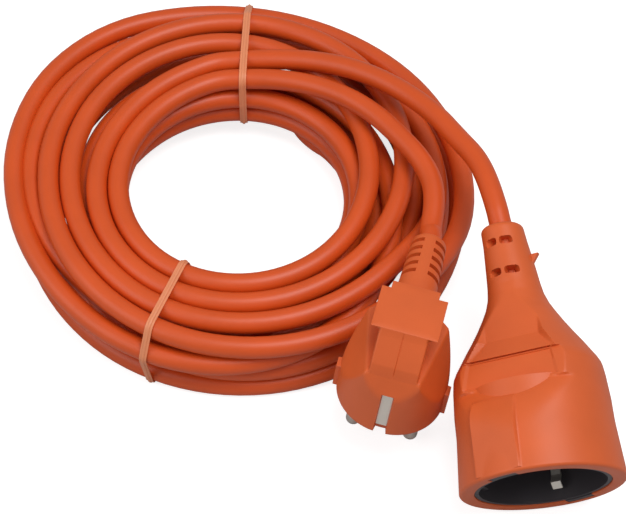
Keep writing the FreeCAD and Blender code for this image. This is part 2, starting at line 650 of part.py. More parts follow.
class Ring:
    """The wound cord: a doubled strand in flat lanes that spiral out and in, four layers deep.

    The plug's strand and the coupling's strand lie side by side. Both start on the top layer,
    drop a layer in each reversal of the spiral and meet in a half turn on the bottom layer.
    """

    def __init__(self):
        self.diameter = size("cord_diameter")
        self.lane = size("cord_diameter + lane_gap")
        self.layer = size("cord_diameter + layer_gap")
        self.inner = size("inner_lane")
        self.start = math.radians(size("ring_start"))
        self.quarters = round(size("quarters_per_layer"))
        self.span = self.quarters * math.pi / 2
        self.pitch = 2 * self.lane / (2 * math.pi)
        self.outer = self.inner + self.pitch * self.span
        self.bottom = self.diameter / 2 - self.diameter / 10
        self.finish = 3 * self.span + math.radians(size("bottom_sweep"))

    def outward(self, turned):
        return Vector(math.cos(self.start + turned), math.sin(self.start + turned), 0)

    def forward(self, turned):
        return Vector(-math.sin(self.start + turned), math.cos(self.start + turned), 0)

    def station(self, turned, side):
        """Place and direction after an angle, for the inner (0) or outer (1) strand."""
        done = int(turned // self.span)
        phase = turned - done * self.span
        growth = self.pitch if done % 2 == 0 else -self.pitch
        radius = self.inner + side * self.lane
        radius += self.pitch * phase if done % 2 == 0 else self.pitch * (self.span - phase)
        height = self.bottom + self.layer * (3 - done)
        place = self.outward(turned) * radius + Vector(0, 0, height)
        direction = self.outward(turned) * growth + self.forward(turned) * radius
        return place, direction.normalize()

    def crossing(self, share, radii, angles):
        """A strand's drift from one radius to another on the bottom layer, eased at both ends."""
        turned = angles[0] + (angles[1] - angles[0]) * share
        radius = radii[0] + (radii[1] - radii[0]) * share * share * (3 - 2 * share)
        growth = (radii[1] - radii[0]) * 6 * share * (1 - share) / (angles[1] - angles[0])
        place = self.outward(turned) * radius + Vector(0, 0, self.bottom)
        direction = self.outward(turned) * growth + self.forward(turned) * radius
        return place, direction.normalize()

    def strand(self, side):
        """All stations of one strand, from the top layer's start to the half turn."""
        quarter = math.pi / 2
        angles = [0.0] + [quarter / 2 + k * quarter for k in range(3 * self.quarters + 2)]
        stations = [self.landing(side)] + [self.station(angle, side) for angle in angles]
        last = stations[-1][0]
        radii = (math.hypot(last.x, last.y), self.turn_radii()[side])
        for share in (0.5, 1.0):
            stations.append(self.crossing(share, radii, (angles[-1], self.finish)))
        return stations

    def turn_radii(self):
        return self.inner, self.outer + self.lane

    def landing(self, side):
        """Where a strand comes down from above the top layer into its first lane."""
        before = -math.radians(size("landing_sweep"))
        slant = math.radians(size("landing_slant"))
        radius = self.inner + side * self.lane + size("landing_offset")
        place = self.outward(before) * radius + Vector(0, 0, self.bottom + self.layer * 4)
        return place, self.forward(before) * math.cos(slant) - self.outward(before) * math.sin(slant)

    def end(self, side):
        """Where a strand leaves the ring, and the way it runs into it there."""
        place, direction = self.landing(side)
        return place - direction * self.diameter, direction

    def wire(self):
        near, far = self.strand(0), self.strand(1)
        inner, outer = self.turn_radii()
        out, on = self.outward(self.finish), self.forward(self.finish)
        reach = (outer - inner) / 2
        middle = out * (inner + reach) + Vector(0, 0, self.bottom)
        slant = reach * math.sqrt(0.5)
        edges = [Part.LineSegment(self.end(0)[0], near[0][0])]
        for (p, leaving), (q, arriving) in zip(near, near[1:]):
            edges += biarc(p, leaving, q, arriving)
        edges.append(Part.Arc(near[-1][0], middle + (on - out) * slant, middle + on * reach))
        edges.append(Part.Arc(middle + on * reach, middle + (on + out) * slant, far[-1][0]))
        back = [(place, direction * -1) for place, direction in far[::-1]]
        for (p, leaving), (q, arriving) in zip(back, back[1:]):
            edges += biarc(p, leaving, q, arriving)
        edges.append(Part.LineSegment(far[0][0], self.end(1)[0]))
        return Part.Wire([edge.toShape() for edge in edges])


def along_wire(wire, step):
    """Points along a wire, each with its distance from the start."""
    marks, travelled = [], 0.0
    for edge in wire.Edges:
        count = max(2, int(edge.Length / step))
        stretch = edge.LastParameter - edge.FirstParameter
        for k in range(count):
            point = edge.valueAt(edge.FirstParameter + stretch * k / count)
            marks.append((travelled + edge.Length * k / count, point))
        travelled += edge.Length
    return marks


def least_gap(marks, diameter):
    """The least gap between stretches of the cord that lie over four diameters apart on it."""
    cells = {}
    least = diameter * 2
    for travelled, point in marks:
        cell = tuple(int(math.floor(c / least)) for c in point)
        cells.setdefault(cell, []).append((travelled, point))
    reach = (-1, 0, 1)
    for (i, j, k), inside in cells.items():
        near = [mark for a in reach for b in reach for c in reach
                for mark in cells.get((i + a, j + b, k + c), ())]
        for travelled, point in inside:
            for other, place in near:
                if other - travelled > 4 * diameter:
                    least = min(least, point.distanceToPoint(place))
    return least - diameter


def hull(points):
    """The corners of the tightest band round points given as (radius, height)."""
    def half(ordered):
        chain = []
        for x, y in ordered:
            while len(chain) > 1 and ((chain[-1][0] - chain[-2][0]) * (y - chain[-2][1])
                                      <= (chain[-1][1] - chain[-2][1]) * (x - chain[-2][0])):
                chain.pop()
            chain.append((x, y))
        return chain[:-1]
    ordered = sorted(points)
    return half(ordered) + half(ordered[::-1])


def lanes_at(cords, angle):
    """Radius and height of each strand of the marked cords where it passes a ring angle."""
    out = Vector(math.cos(angle), math.sin(angle), 0)
    on = Vector(-math.sin(angle), math.cos(angle), 0)
    lanes = []
    for marks in cords:
        for (_, a), (_, b) in zip(marks, marks[1:]):
            before, after = a.dot(on), b.dot(on)
            if before * after <= 0 and a.dot(out) > 0 and before != after:
                cross = a + (b - a) * (before / (before - after))
                lanes.append((cross.dot(out), cross.z))
    return lanes


def tie(label, cords, degrees):
    """A flat band drawn round all the strands at a ring angle, level along the floor."""
    angle = math.radians(degrees)
    floor_gap = 0.1
    inside = size("cord_diameter / 2 + tie_clearance")
    width = size("tie_width")
    corners = [Vector(r, z, -width / 2) for r, z in hull(lanes_at(cords, angle))]
    loop = Part.makePolygon(corners + corners[:1])
    faces = []
    for growth, low in ((size("tie_thickness"), floor_gap),
                        (0.0, floor_gap + size("tie_thickness"))):
        face = Part.Face(loop.makeOffset2D(inside + growth))
        above = Part.makePlane(200, 100, Vector(0, low, -width / 2))
        faces.append(face.common(above))
    band = faces[0].cut(faces[1]).extrude(Vector(0, 0, width))
    # the drawing's x is the ring's radius, its y is up and its width lies along the cord
    turn = Rotation(Vector(0, 0, 1), degrees) * Rotation(Vector(1, 0, 0), 90)
    shaped(label, band.Solids[0], Placement(Vector(), turn))
    channel = Part.makeBox(100, width + 0.6, floor_gap + size("tie_thickness") + 1.3,
                           Vector(0, -width / 2 - 0.3, -1))
    channel.rotate(Vector(), Vector(0, 0, 1), degrees)
    return channel


def cord():
    """The wound ring with its flat underside, its two ties, and the free leads to both ends."""
    ring = Ring()
    wire = ring.wire()
    marks = along_wire(wire, 2.5)
    print("ring: cord length", round(wire.Length), "least gap to itself",
          round(least_gap(marks, ring.diameter), 2))
    ends = (
        ("plug_lead", PLUG_PLACE, Vector(0, size("relief_end"), size("relief_height")),
         Vector(0, 1, 0), PLUG_LEAD),
        ("coupling_lead", COUPLING_PLACE, Vector(0, 0, size("coupling_length")),
         Vector(0, 0, 1), COUPLING_LEAD),
    )
    cords = [marks]
    for side, (label, place, exit_point, exit_way, route) in enumerate(ends):
        start, leaving = place.multVec(exit_point), place.Rotation.multVec(exit_way)
        finish, arriving = ring.end(side)
        first, last = LEAD_STRAIGHTS[side]
        points = [start, start + leaving * first] + [Vector(*point) for point in route]
        points += [finish - arriving * last, finish]
        path = rounded_route(points, label)
        lead = tube(path, ring.diameter / 2)
        print(label, "length", round(path.Length), "volume over section times length",
              round(lead.Volume / (math.pi * ring.diameter ** 2 / 4 * path.Length), 4))
        shaped(label, lead)
        cords.append(along_wire(path, 2.5))
    channels = [tie("rear_tie", cords, REAR_TIE), tie("front_tie", cords, FRONT_TIE)]
    below = Part.makeBox(300, 300, 20, Vector(-150, -150, -20))
    solid = tube(wire, ring.diameter / 2, round(size("cord_sides"))).cut(below)
    for channel in channels:
        solid = solid.cut(channel)
    shaped("cable_coil", solid)


REAR_TIE = 88.5
FRONT_TIE = -111.0
LEAD_STRAIGHTS = ((9.9, 7.9), (15.0, 8.2))
PLUG_LEAD = (
    (65.9, -8.6, 34.0),
    (56.2, 6.6, 34.1),
)
COUPLING_LEAD = (
    (83.1, -8.4, 46.7),
    (75.3, 3.5, 41.2),
    (64.1, 10.9, 35.2),
)

plug_body()
plug_face()
pin("live_pin", "")
pin("neutral_pin", "-")
plug_earth()
plug_wiring()
coupling_body()
coupling_insert()
sunk_face()
contact_carrier()
contact("live_contact", "")
contact("neutral_contact", "-")
earth_clip()
coupling_wiring()
cord()
doc.recompute()

faulty = [o.Name for o in doc.Objects if "Invalid" in o.State or "Error" in o.State]
if faulty:
    raise ValueError(f"objects that have failed: {faulty}")
os.makedirs("parts", exist_ok=True)
for part in subparts:
    if part.Shape.isNull() or not part.Shape.isValid():
        raise ValueError(f"{part.Label} has no valid shape")
    part.Shape.exportStep(f"parts/{part.Label}.step")
print(len(subparts), "sub-parts written")
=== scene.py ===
import bpy
import bmesh
import math
import numpy as np
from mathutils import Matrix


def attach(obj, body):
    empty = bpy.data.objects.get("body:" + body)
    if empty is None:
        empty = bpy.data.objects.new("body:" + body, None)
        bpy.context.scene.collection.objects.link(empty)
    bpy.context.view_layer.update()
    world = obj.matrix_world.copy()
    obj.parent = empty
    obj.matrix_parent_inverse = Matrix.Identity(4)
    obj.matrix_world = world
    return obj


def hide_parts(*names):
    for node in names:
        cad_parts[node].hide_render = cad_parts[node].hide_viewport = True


# An orange extension cord wound into a ring, tied twice, with its plug and its coupling
# lying beside it. Sizes are in millimetres in the same frame as the CAD and become metres
# where a mesh or a curve is made.

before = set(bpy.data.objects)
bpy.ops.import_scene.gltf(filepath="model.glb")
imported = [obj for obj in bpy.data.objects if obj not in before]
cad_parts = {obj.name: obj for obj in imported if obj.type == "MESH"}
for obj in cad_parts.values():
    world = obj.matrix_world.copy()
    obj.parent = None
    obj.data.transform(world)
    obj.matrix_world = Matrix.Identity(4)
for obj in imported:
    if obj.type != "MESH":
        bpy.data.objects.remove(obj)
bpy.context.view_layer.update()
MM = 0.001


# Frames of the two ends, each as in the CAD: the axes' turns and the origin

def turned(axis, degrees):
    """The rotation matrix about the world's X, Y or Z."""
    c, s = math.cos(math.radians(degrees)), math.sin(math.radians(degrees))
    return {"x": np.array([[1, 0, 0], [0, c, -s], [0, s, c]]),
            "y": np.array([[c, 0, s], [0, 1, 0], [-s, 0, c]]),
            "z": np.array([[c, -s, 0], [s, c, 0], [0, 0, 1]])}[axis]


PLUG_AXES = turned("z", -13.5) @ turned("x", -9) @ turned("y", 5.4)
PLUG_ORIGIN = np.array([50.4, -85.0, 21.6])
COUPLING_AXES = turned("z", 5.3) @ turned("x", -90 + 13.1) @ turned("z", -25)
COUPLING_ORIGIN = np.array([96.3, -121.6, 25.5])


def in_plug(points):
    """Points of the plug's own frame, in the world."""
    return np.asarray(points) @ PLUG_AXES.T + PLUG_ORIGIN


def in_coupling(points):
    """Points of the coupling's own frame, in the world."""
    return np.asarray(points) @ COUPLING_AXES.T + COUPLING_ORIGIN


# Materials

def finish(name, colour, roughness, grain=0.0, grain_size=0.5, mottle=0.06, **sockets):
    """A moulded or extruded surface: a colour that drifts a little, and a fine grain as bump."""
    material = bpy.data.materials.new(name)
    material.use_nodes = True
    nodes, links = material.node_tree.nodes, material.node_tree.links
    shader = nodes["Principled BSDF"]
    shader.inputs["Roughness"].default_value = roughness
    for socket, value in sockets.items():
        shader.inputs[socket.replace("_", " ")].default_value = value
    place = nodes.new("ShaderNodeTexCoord")
    drift = nodes.new("ShaderNodeTexNoise")
    drift.inputs["Scale"].default_value = 45
    drift.inputs["Detail"].default_value = 3
    links.new(place.outputs["Object"], drift.inputs["Vector"])
    shade = nodes.new("ShaderNodeValToRGB")
    dark, light = 1 - mottle, 1 + mottle
    shade.color_ramp.elements[0].position = 0.3
    shade.color_ramp.elements[1].position = 0.7
    shade.color_ramp.elements[0].color = (*(c * dark for c in colour), 1)
    shade.color_ramp.elements[1].color = (*(min(1, c * light) for c in colour), 1)
    links.new(drift.outputs["Fac"], shade.inputs["Fac"])
    links.new(shade.outputs["Color"], shader.inputs["Base Color"])
    if grain:
        speckle = nodes.new("ShaderNodeTexNoise")
        speckle.inputs["Scale"].default_value = 1 / (grain_size * MM)
        speckle.inputs["Detail"].default_value = 2
        links.new(place.outputs["Object"], speckle.inputs["Vector"])
        bump = nodes.new("ShaderNodeBump")
        bump.inputs["Strength"].default_value = 1
        bump.inputs["Distance"].default_value = grain * MM
        links.new(speckle.outputs["Fac"], bump.inputs["Height"])
        links.new(bump.outputs["Normal"], shader.inputs["Normal"])
    return material


HOUSING = finish("housing_pvc", (0.69, 0.116, 0.023), 0.47, grain=0.02, grain_size=0.6)
SHEATH = finish("cord_sheath", (0.68, 0.086, 0.010), 0.42, grain=0.012, grain_size=1.2)
TIE = finish("tie_plastic", (0.80, 0.28, 0.13), 0.45)
INSERT = finish("black_moulding", (0.05, 0.042, 0.048), 0.5, grain=0.01)
DISC = finish("hard_disc", (0.62, 0.10, 0.03), 0.35)
NICKEL = finish("nickel", (0.74, 0.69, 0.63), 0.38, Metallic=1.0)
STRIP = finish("spring_strip", (0.88, 0.83, 0.75), 0.5, Metallic=1.0)
BRASS = finish("brass", (0.80, 0.56, 0.25), 0.28, Metallic=1.0)
LIVE = finish("core_brown", (0.16, 0.06, 0.03), 0.4)
NEUTRAL = finish("core_blue", (0.02, 0.10, 0.42), 0.4)
EARTH = finish("core_green", (0.10, 0.35, 0.03), 0.4)

for node, material in {
        "plug_body": HOUSING, "coupling_body": HOUSING, "plug_face": DISC,
        "live_pin": NICKEL, "neutral_pin": NICKEL, "plug_earth_strap": STRIP,
        "plug_earth_sleeve": STRIP, "coupling_earth_clip": STRIP, "coupling_insert": INSERT,
        "sunk_face": INSERT, "contact_carrier": INSERT, "live_contact": BRASS,
        "neutral_contact": BRASS, "plug_live_crimp": BRASS, "plug_neutral_crimp": BRASS,
        "plug_earth_crimp": BRASS, "coupling_live_crimp": BRASS, "coupling_neutral_crimp": BRASS,
        "coupling_earth_crimp": BRASS, "plug_live_core": LIVE, "coupling_live_core": LIVE,
        "plug_neutral_core": NEUTRAL, "coupling_neutral_core": NEUTRAL,
        "plug_earth_core": EARTH, "coupling_earth_core": EARTH, "rear_tie": TIE,
        "front_tie": TIE}.items():
    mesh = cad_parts[node].data
    mesh.materials.clear()
    mesh.materials.append(material)


# Cord: a doubled strand wound in lanes, four layers deep, and two free leads

CORD = 7.2                  # diameter of the sheath
LANE = 8.0                  # from strand to strand in a layer
LAYER = 7.7                 # from layer to layer
INNER_LANE = 41.5           # radius of the innermost strand
BOTTOM = 3.62               # height of the lowest layer
RING_START = 80.0           # ring angle where the winding begins, in degrees like those below
SPAN = 630.0                # wound in one layer
PITCH = 2 * LANE / 360      # a layer's growth for each degree
STEP = 22.5                 # between control points
DRIFT_START = 3 * SPAN + 45     # where the lowest layer leaves its drawn rows
FINISH = 3 * SPAN + 240         # where the half turn begins
DRIFT_RADIUS = (62.0, 70.0)     # each strand's radius where its drift begins
DRIFT_POINTS = 8
DRIFT_INWARDS = 0.3             # how far inside its lane a strand meets the half turn

# Where turns leave the plain spiral: the layer, the strand, and rows of the angle wound from
# the X axis, the radius and the height there. Between rows both follow a straight line.
DRAWN = {
    (0, 0): [(102, 40.1, 26.6), (120, 38.6, 26.6), (150, 38.2, 26.5), (180, 39.6, 26.4),
             (210, 42.4, 26.3), (240, 45.4, 26.3), (270, 47.1, 26.3), (300, 47.0, 26.3),
             (330, 45.6, 26.2), (360, 44.6, 26.0), (390, 47.0, 25.8), (420, 52.4, 25.8),
             (450, 58.3, 26.3), (480, 58.8, 26.6), (510, 57.9, 26.6), (540, 56.4, 26.5),
             (555, 56.5, 26.4), (570, 57.0, 26.4), (600, 60.0, 26.4), (630, 62.2, 26.3),
             (660, 63.4, 26.3), (690, 65.2, 26.0), (710, 67.0, 25.0)],
    (0, 1): [(102, 47.9, 26.8), (120, 46.2, 26.7), (150, 45.4, 26.6), (180, 46.9, 26.5),
             (210, 49.9, 26.4), (240, 52.8, 26.3), (270, 54.6, 26.3), (300, 55.0, 26.3),
             (330, 55.4, 26.2), (360, 56.6, 26.0), (390, 60.6, 25.8), (420, 64.8, 25.9),
             (450, 67.5, 26.4), (480, 67.6, 26.6), (510, 65.6, 26.5), (540, 64.2, 26.4),
             (555, 63.6, 26.3), (570, 64.3, 26.3), (600, 67.4, 26.3), (630, 71.3, 26.3),
             (660, 74.0, 26.1), (690, 76.6, 25.4), (710, 78.4, 24.2)],
    (1, 0): [(710, 69.0, 18.6), (780, 66.5, 18.6), (810, 67.0, 18.8), (840, 72.0, 20.2),
             (855, 74.2, 22.2), (870, 73.6, 23.0), (900, 70.8, 22.4), (915, 68.4, 21.0),
             (930, 65.6, 19.2), (960, 63.0, 18.6), (990, 60.0, 18.6), (1020, 51.0, 18.6),
             (1050, 44.4, 18.6), (1080, 41.4, 18.7), (1110, 39.6, 18.8), (1140, 38.7, 18.8),
             (1170, 38.4, 18.8), (1200, 38.4, 18.8), (1230, 39.2, 18.7), (1260, 40.6, 18.6),
             (1290, 42.6, 18.6), (1320, 43.4, 18.4)],
    (1, 1): [(710, 78.4, 18.8), (750, 75.6, 18.7), (780, 74.3, 19.0), (810, 75.6, 19.6),
             (825, 77.6, 20.8), (840, 80.4, 22.4), (855, 81.6, 23.6), (870, 80.6, 23.6),
             (885, 78.6, 23.2), (900, 76.2, 22.6), (915, 74.4, 21.6), (930, 73.0, 20.2),
             (945, 72.6, 19.0), (990, 74.0, 18.7), (1020, 68.5, 18.6), (1050, 58.5, 18.6),
             (1080, 51.2, 18.6), (1110, 49.0, 18.7), (1140, 48.2, 18.7), (1200, 50.4, 19.8),
             (1230, 51.6, 20.4), (1260, 52.0, 20.0), (1290, 51.6, 18.8), (1320, 51.0, 18.4)],
    (2, 0): [(1370, 42.0, 11.0), (1400, 41.4, 11.1), (1440, 40.2, 11.2), (1480, 38.9, 11.2),
             (1530, 38.4, 11.2), (1560, 39.4, 11.2), (1590, 41.6, 11.2), (1620, 46.0, 11.1),
             (1650, 51.0, 11.1), (1680, 56.4, 11.0), (1710, 59.0, 11.0), (1740, 59.6, 11.0),
             (1785, 60.0, 11.0), (1800, 60.8, 11.0),
             (1880, 65.4, 11.0), (1925, 66.4, 10.6), (1970, 65.6, 8.6)],
    (2, 1): [(1370, 52.0, 11.0), (1400, 50.0, 11.0), (1440, 48.0, 11.0), (1480, 46.6, 11.1),
             (1530, 46.4, 11.1), (1560, 47.4, 11.1), (1590, 50.0, 11.1), (1620, 54.2, 11.1),
             (1650, 59.2, 11.0), (1680, 66.4, 11.0), (1710, 71.0, 11.0), (1740, 71.2, 11.0),
             (1785, 69.4, 11.0), (1800, 69.4, 11.0),
             (1880, 73.2, 11.0), (1925, 74.2, 10.6), (1970, 73.2, 8.6)],
    (3, 0): [(1970, 65.6, 7.0), (1992, 63.4, 3.62), (2016, 62.0, 3.62)],
    (3, 1): [(1970, 73.2, 7.0), (1992, 71.2, 3.62), (2016, 70.0, 3.62)],
}


def at_ring(wound, radius, height):
    """Points at an angle wound in degrees, a radius and a height. The radius is drawn wider by
    the half step's secant, because the spline runs inside its control points."""
    angle = np.radians(RING_START + wound)
    wide = radius / math.cos(math.radians(STEP / 2))
    return np.stack([wide * np.cos(angle), wide * np.sin(angle),
                     np.broadcast_to(height, angle.shape)], axis=-1)


def lane_points(wound, side):
    """A strand's control points: a spiral out and in again over each layer's turns, and the
    drawn rows where the turns leave it."""
    layer = np.minimum(wound // SPAN, 3)
    phase = wound - layer * SPAN
    growth = np.where(layer % 2 == 0, phase, SPAN - phase)
    radius = INNER_LANE + side * LANE + PITCH * growth
    height = BOTTOM + LAYER * (3 - layer)
    for (drawn_layer, drawn_side), rows in DRAWN.items():
        angle, drawn_radius, drawn_height = np.array(rows).T
        here = ((drawn_side == side) & (layer == drawn_layer)
                & (wound + RING_START >= angle[0] - 1) & (wound + RING_START <= angle[-1] + 1))
        radius = np.where(here, np.interp(wound + RING_START, angle, drawn_radius), radius)
        height = np.where(here, np.interp(wound + RING_START, angle, drawn_height), height)
    return at_ring(wound, radius, height)


def strand(side):
    """One strand from its landing on the top layer to the half turn on the floor."""
    wound = np.arange(STEP, DRIFT_START + 0.01, STEP)
    lanes = lane_points(wound, side)
    last = wound[-1]
    share = np.arange(1, DRIFT_POINTS + 1) / (DRIFT_POINTS + 0.5)
    ease = share * share * (3 - 2 * share)
    from_radius = DRIFT_RADIUS[side]
    to_radius = (INNER_LANE, INNER_LANE + PITCH * SPAN + LANE)[side] - DRIFT_INWARDS
    drift = at_ring(last + share * (FINISH - last),
                    from_radius + (to_radius - from_radius) * ease, BOTTOM)
    return np.concatenate([lanes, drift])


PLUG_LEAD = np.array([
    (64.4, -31.7, 34.5), (66.3, -21, 35.2), (65.9, -11.5, 35.8), (61.8, -1.7, 36),
    (55.2, 7.8, 35.6), (47.8, 17.6, 34.8), (38.0, 26.6, 33.6), (26.4, 33.8, 31.4),
    (14.4, 38.2, 29.2), (3.0, 39.8, 27.6)])
COUPLING_LEAD = np.array([
    (85.4, -31.2, 46.6), (83.2, -20.5, 46.9), (80.2, -9.8, 45.6), (74.2, 1.0, 43.0),
    (68.0, 12.6, 40.6), (59.2, 23.6, 38.2), (47.8, 33.4, 36.4), (35.2, 40.6, 34.2),
    (22.0, 45.4, 31.4), (9.0, 47.8, 28.8), (-2.0, 48.2, 27.2)])


def half_turn():
    """Control points of the half turn that joins both strands on the bottom layer."""
    inner, outer = INNER_LANE, INNER_LANE + PITCH * SPAN + LANE
    angle = math.radians(RING_START + FINISH)
    out = np.array([math.cos(angle), math.sin(angle), 0])
    on = np.array([-math.sin(angle), math.cos(angle), 0])
    reach = (outer - inner) / 2
    middle = out * (inner + reach - DRIFT_INWARDS) + np.array([0, 0, BOTTOM])
    bend = np.radians(np.arange(-90, 91, 30))
    wide = reach * 1.03
    return middle + wide * (np.outer(np.sin(bend), out) + np.outer(np.cos(bend), on))


def spline(name, points, diameter, material, sides=8):
    """A round cord on one open NURBS spline with the given control points."""
    curve = bpy.data.curves.new(name, "CURVE")
    curve.dimensions = "3D"
    curve.bevel_depth = diameter / 2 * MM
    curve.bevel_resolution = sides
    curve.use_fill_caps = True
    curve.resolution_u = 6
    line = curve.splines.new("NURBS")
    line.points.add(len(points) - 1)
    flat = np.ones((len(points), 4))
    flat[:, :3] = np.asarray(points) * MM
    line.points.foreach_set("co", flat.ravel())
    line.order_u = 3
    line.use_endpoint_u = True
    curve.materials.append(material)
    piece = bpy.data.objects.new(name, curve)
    bpy.context.collection.objects.link(piece)
    return piece


RELIEF_HEIGHT = 23
TAIL_PULL = 1.9             # how far the cord pulls the end of the coupling's tail aside
relief_end = in_plug((0, 44.6, RELIEF_HEIGHT))
cable_end = in_coupling((0, 0, 86))
PULLED = np.array([TAIL_PULL, 0, 0])
route = np.concatenate([
    [relief_end, in_plug((0, 49.5, RELIEF_HEIGHT))], PLUG_LEAD,
    strand(0), half_turn(), strand(1)[::-1], COUPLING_LEAD[::-1],
    [in_coupling((0, 0, 90)) - 1.2 * PULLED, cable_end - PULLED]])
cord = spline("cord", route, CORD, SHEATH)
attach(cord, "root")
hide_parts("plug_lead", "cable_coil", "coupling_lead")


# Surfaces: every new piece is a grid of points worked out at once and put into a mesh

BORE = 3.7                  # radius of the way for the cord, in both ends
CREASE = math.radians(32)   # faces that meet at more than this keep a sharp edge


def ramp(low, high, value):
    """0 below low, 1 above high, and 3t² - 2t³ between."""
    t = np.clip((value - low) / (high - low), 0, 1)
    return t * t * (3 - 2 * t)


def softly(a, b, width):
    """The lesser of two surfaces, rounded where they meet: min(a, b) - h² / 4w, where h is
    the width less their distance."""
    near = np.maximum(width - np.abs(a - b), 0)
    return np.minimum(a, b) - near * near / (4 * width)


def flat(distance, u, facing):
    """How far a ray at angle u goes before a plane: distance / cos(u - facing)."""
    return distance / np.maximum(np.cos(u - facing), 1e-3)


def closed(name, points, material, cap_first=False, cap_last=False):
    """Quads over rows of points, each row closed on itself. The rows close on each other too,
    unless both ends are capped, and a capped end is drawn together in its row's middle."""
    rows, columns = points.shape[:2]
    number = np.arange(rows * columns).reshape(rows, columns)
    below = number if not cap_first and not cap_last else number[:-1]
    above = np.roll(number, -1, axis=0)[:len(below)]
    faces = np.stack([below, np.roll(below, -1, 1), np.roll(above, -1, 1), above], -1)
    faces = faces.reshape(-1, 4).tolist()
    spots = points.reshape(-1, 3)
    for row, capped in ((0, cap_first), (rows - 1, cap_last)):
        if capped:
            middle = len(spots)
            spots = np.concatenate([spots, points[row].mean(axis=0, keepdims=True)])
            ring, after = number[row], np.roll(number[row], -1)
            pair = (after, ring) if row == 0 else (ring, after)
            fan = np.stack([*pair, np.full(columns, middle)], -1)
            faces += fan.tolist()
    return made(name, spots, faces, material)


def made(name, spots, faces, material):
    """An object with this mesh, its faces turned outwards, smooth up to a crease."""
    mesh = bpy.data.meshes.new(name)
    mesh.from_pydata((np.asarray(spots) * MM).tolist(), [], faces)
    work = bmesh.new()
    work.from_mesh(mesh)
    bmesh.ops.recalc_face_normals(work, faces=work.faces)
    work.to_mesh(mesh)
    work.free()
    mesh.polygons.foreach_set("use_smooth", np.ones(len(mesh.polygons), bool))
    mesh.set_sharp_from_angle(angle=CREASE)
    mesh.materials.append(material)
    piece = bpy.data.objects.new(name, mesh)
    bpy.context.collection.objects.link(piece)
    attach(piece, "root")
    return piece


# Plug housing: one outline for each height, round the line through the middle of its foot

PUCK = 17.2                 # radius of the foot
FOOT_TOP = 24.0
FLANK_TURN = math.radians(10)
EAR_REACH = 18.3
EAR_TOP = 9.2
SLOT_TOP = 17.7             # of the slots for the strap's ends
SLOT_HALF = 1.95
SLOT_FLOOR = 14.75
GRIP_HALF = 7.6
PLATE_HALF = 10.5
PLUG_TURNS = np.linspace(0, 2 * math.pi, 576, endpoint=False)


def foot_outline(z):
    """The round foot at a height: a circle, cut by the sloping front and by two flanks that
    lean in over the ears, with an ear on each side and a slot for each end of the strap."""
    u = PLUG_TURNS
    circle = np.full_like(u, PUCK)
    slope = 17.3 - np.clip((z - 16) / 8, 0, 1.01) * 3.13
    lean = np.interp(z, [0, 9.4, 24], [PUCK + 1, PUCK + 0.1, 10.8])
    reach = softly(circle, flat(slope, u, -math.pi / 2), 0.7)
    flanks = softly(flat(lean, u, -FLANK_TURN), flat(lean, u, math.pi + FLANK_TURN), 0.5)
    reach = softly(reach, flanks, 0.7)
    if z < EAR_TOP:
        along = EAR_REACH * np.tan(u)
        ear = (np.abs(np.where(np.cos(u) > 0, along, -along) + 1) < 2) & (np.abs(np.cos(u)) > 0.9)
        reach = np.where(ear, EAR_REACH / np.abs(np.cos(u)), reach)
    if z < SLOT_TOP:
        slot = np.abs(np.cos(u) * reach) < SLOT_HALF
        reach = np.where(slot, SLOT_FLOOR / np.abs(np.sin(u)), reach)
    return reach


def grip_outline(z):
    """The grip at a height: a rectangle whose front leans back above its knee and whose rear
    leans in under the plate, with a fine parting line down its front."""
    u = PLUG_TURNS
    front = np.interp(z, [21, 24, 27, 36.5], [15.4, 14.15, 13.1, 6.6])
    rear = np.interp(z, [21, 29.5, 35], [18, 18, 12])
    sides = softly(flat(GRIP_HALF, u, 0), flat(GRIP_HALF, u, math.pi), 0.3)
    ends = softly(flat(front, u, -math.pi / 2), flat(rear, u, math.pi / 2), 0.3)
    reach = softly(sides, ends, 0.9)
    seam = np.abs(np.cos(u) * reach) < 0.12
    return np.where(seam & (np.sin(u) < 0), reach - 0.22, reach)


def plate_outline(inset):
    """The flat plate: a wide rectangle and a narrower one behind it, both drawn in by inset."""
    u = PLUG_TURNS
    outlines = []
    for half, front, rear in ((PLATE_HALF, 6.9, 10), (GRIP_HALF, 6.5, 13)):
        outlines.append(np.minimum(
            np.minimum(flat(half - inset, u, 0), flat(half - inset, u, math.pi)),
            np.minimum(flat(front - inset, u, -math.pi / 2), flat(rear - inset, u, math.pi / 2))))
    return np.maximum(*outlines)


